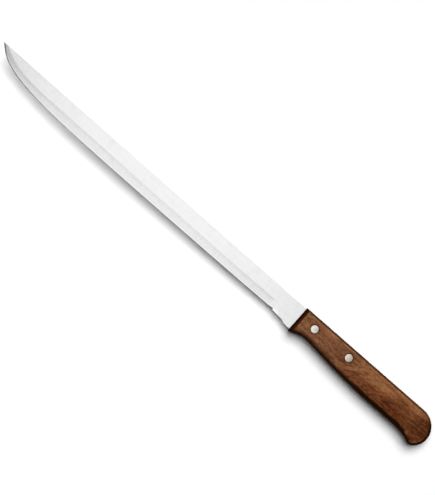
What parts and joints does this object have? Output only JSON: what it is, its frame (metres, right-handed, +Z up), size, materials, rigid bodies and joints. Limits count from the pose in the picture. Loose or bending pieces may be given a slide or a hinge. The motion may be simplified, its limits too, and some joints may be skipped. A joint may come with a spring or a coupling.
{
  "type": "ham knife",
  "caption": "Long slender slicing knife: a hollow-ground steel blade with a swept point, its tang riveted into a shaped wooden handle with a rounded, hooked butt.",
  "frame": {"origin": "middle of the knife's bounding box, on the plane of the handle's lower side face, with the knife lying on its side", "axes": "+X along the blade to the point, +Y from the spine towards the cutting edge, +Z up, out of the blade's left flat"},
  "size_m": [0.4308, 0.0268, 0.016],
  "materials": {
    "steel": "bright satin flats, fine cross-ground hollow",
    "wood": "figured brown hardwood, satin oil finish",
    "rivet": "ground flush, satin"
  },
  "bodies": {
    "root": {"blade": "steel", "handle": "wood", "front_rivet_post": "rivet", "front_rivet_sleeve": "rivet", "rear_rivet_post": "rivet", "rear_rivet_sleeve": "rivet"}
  },
  "joints": []
}
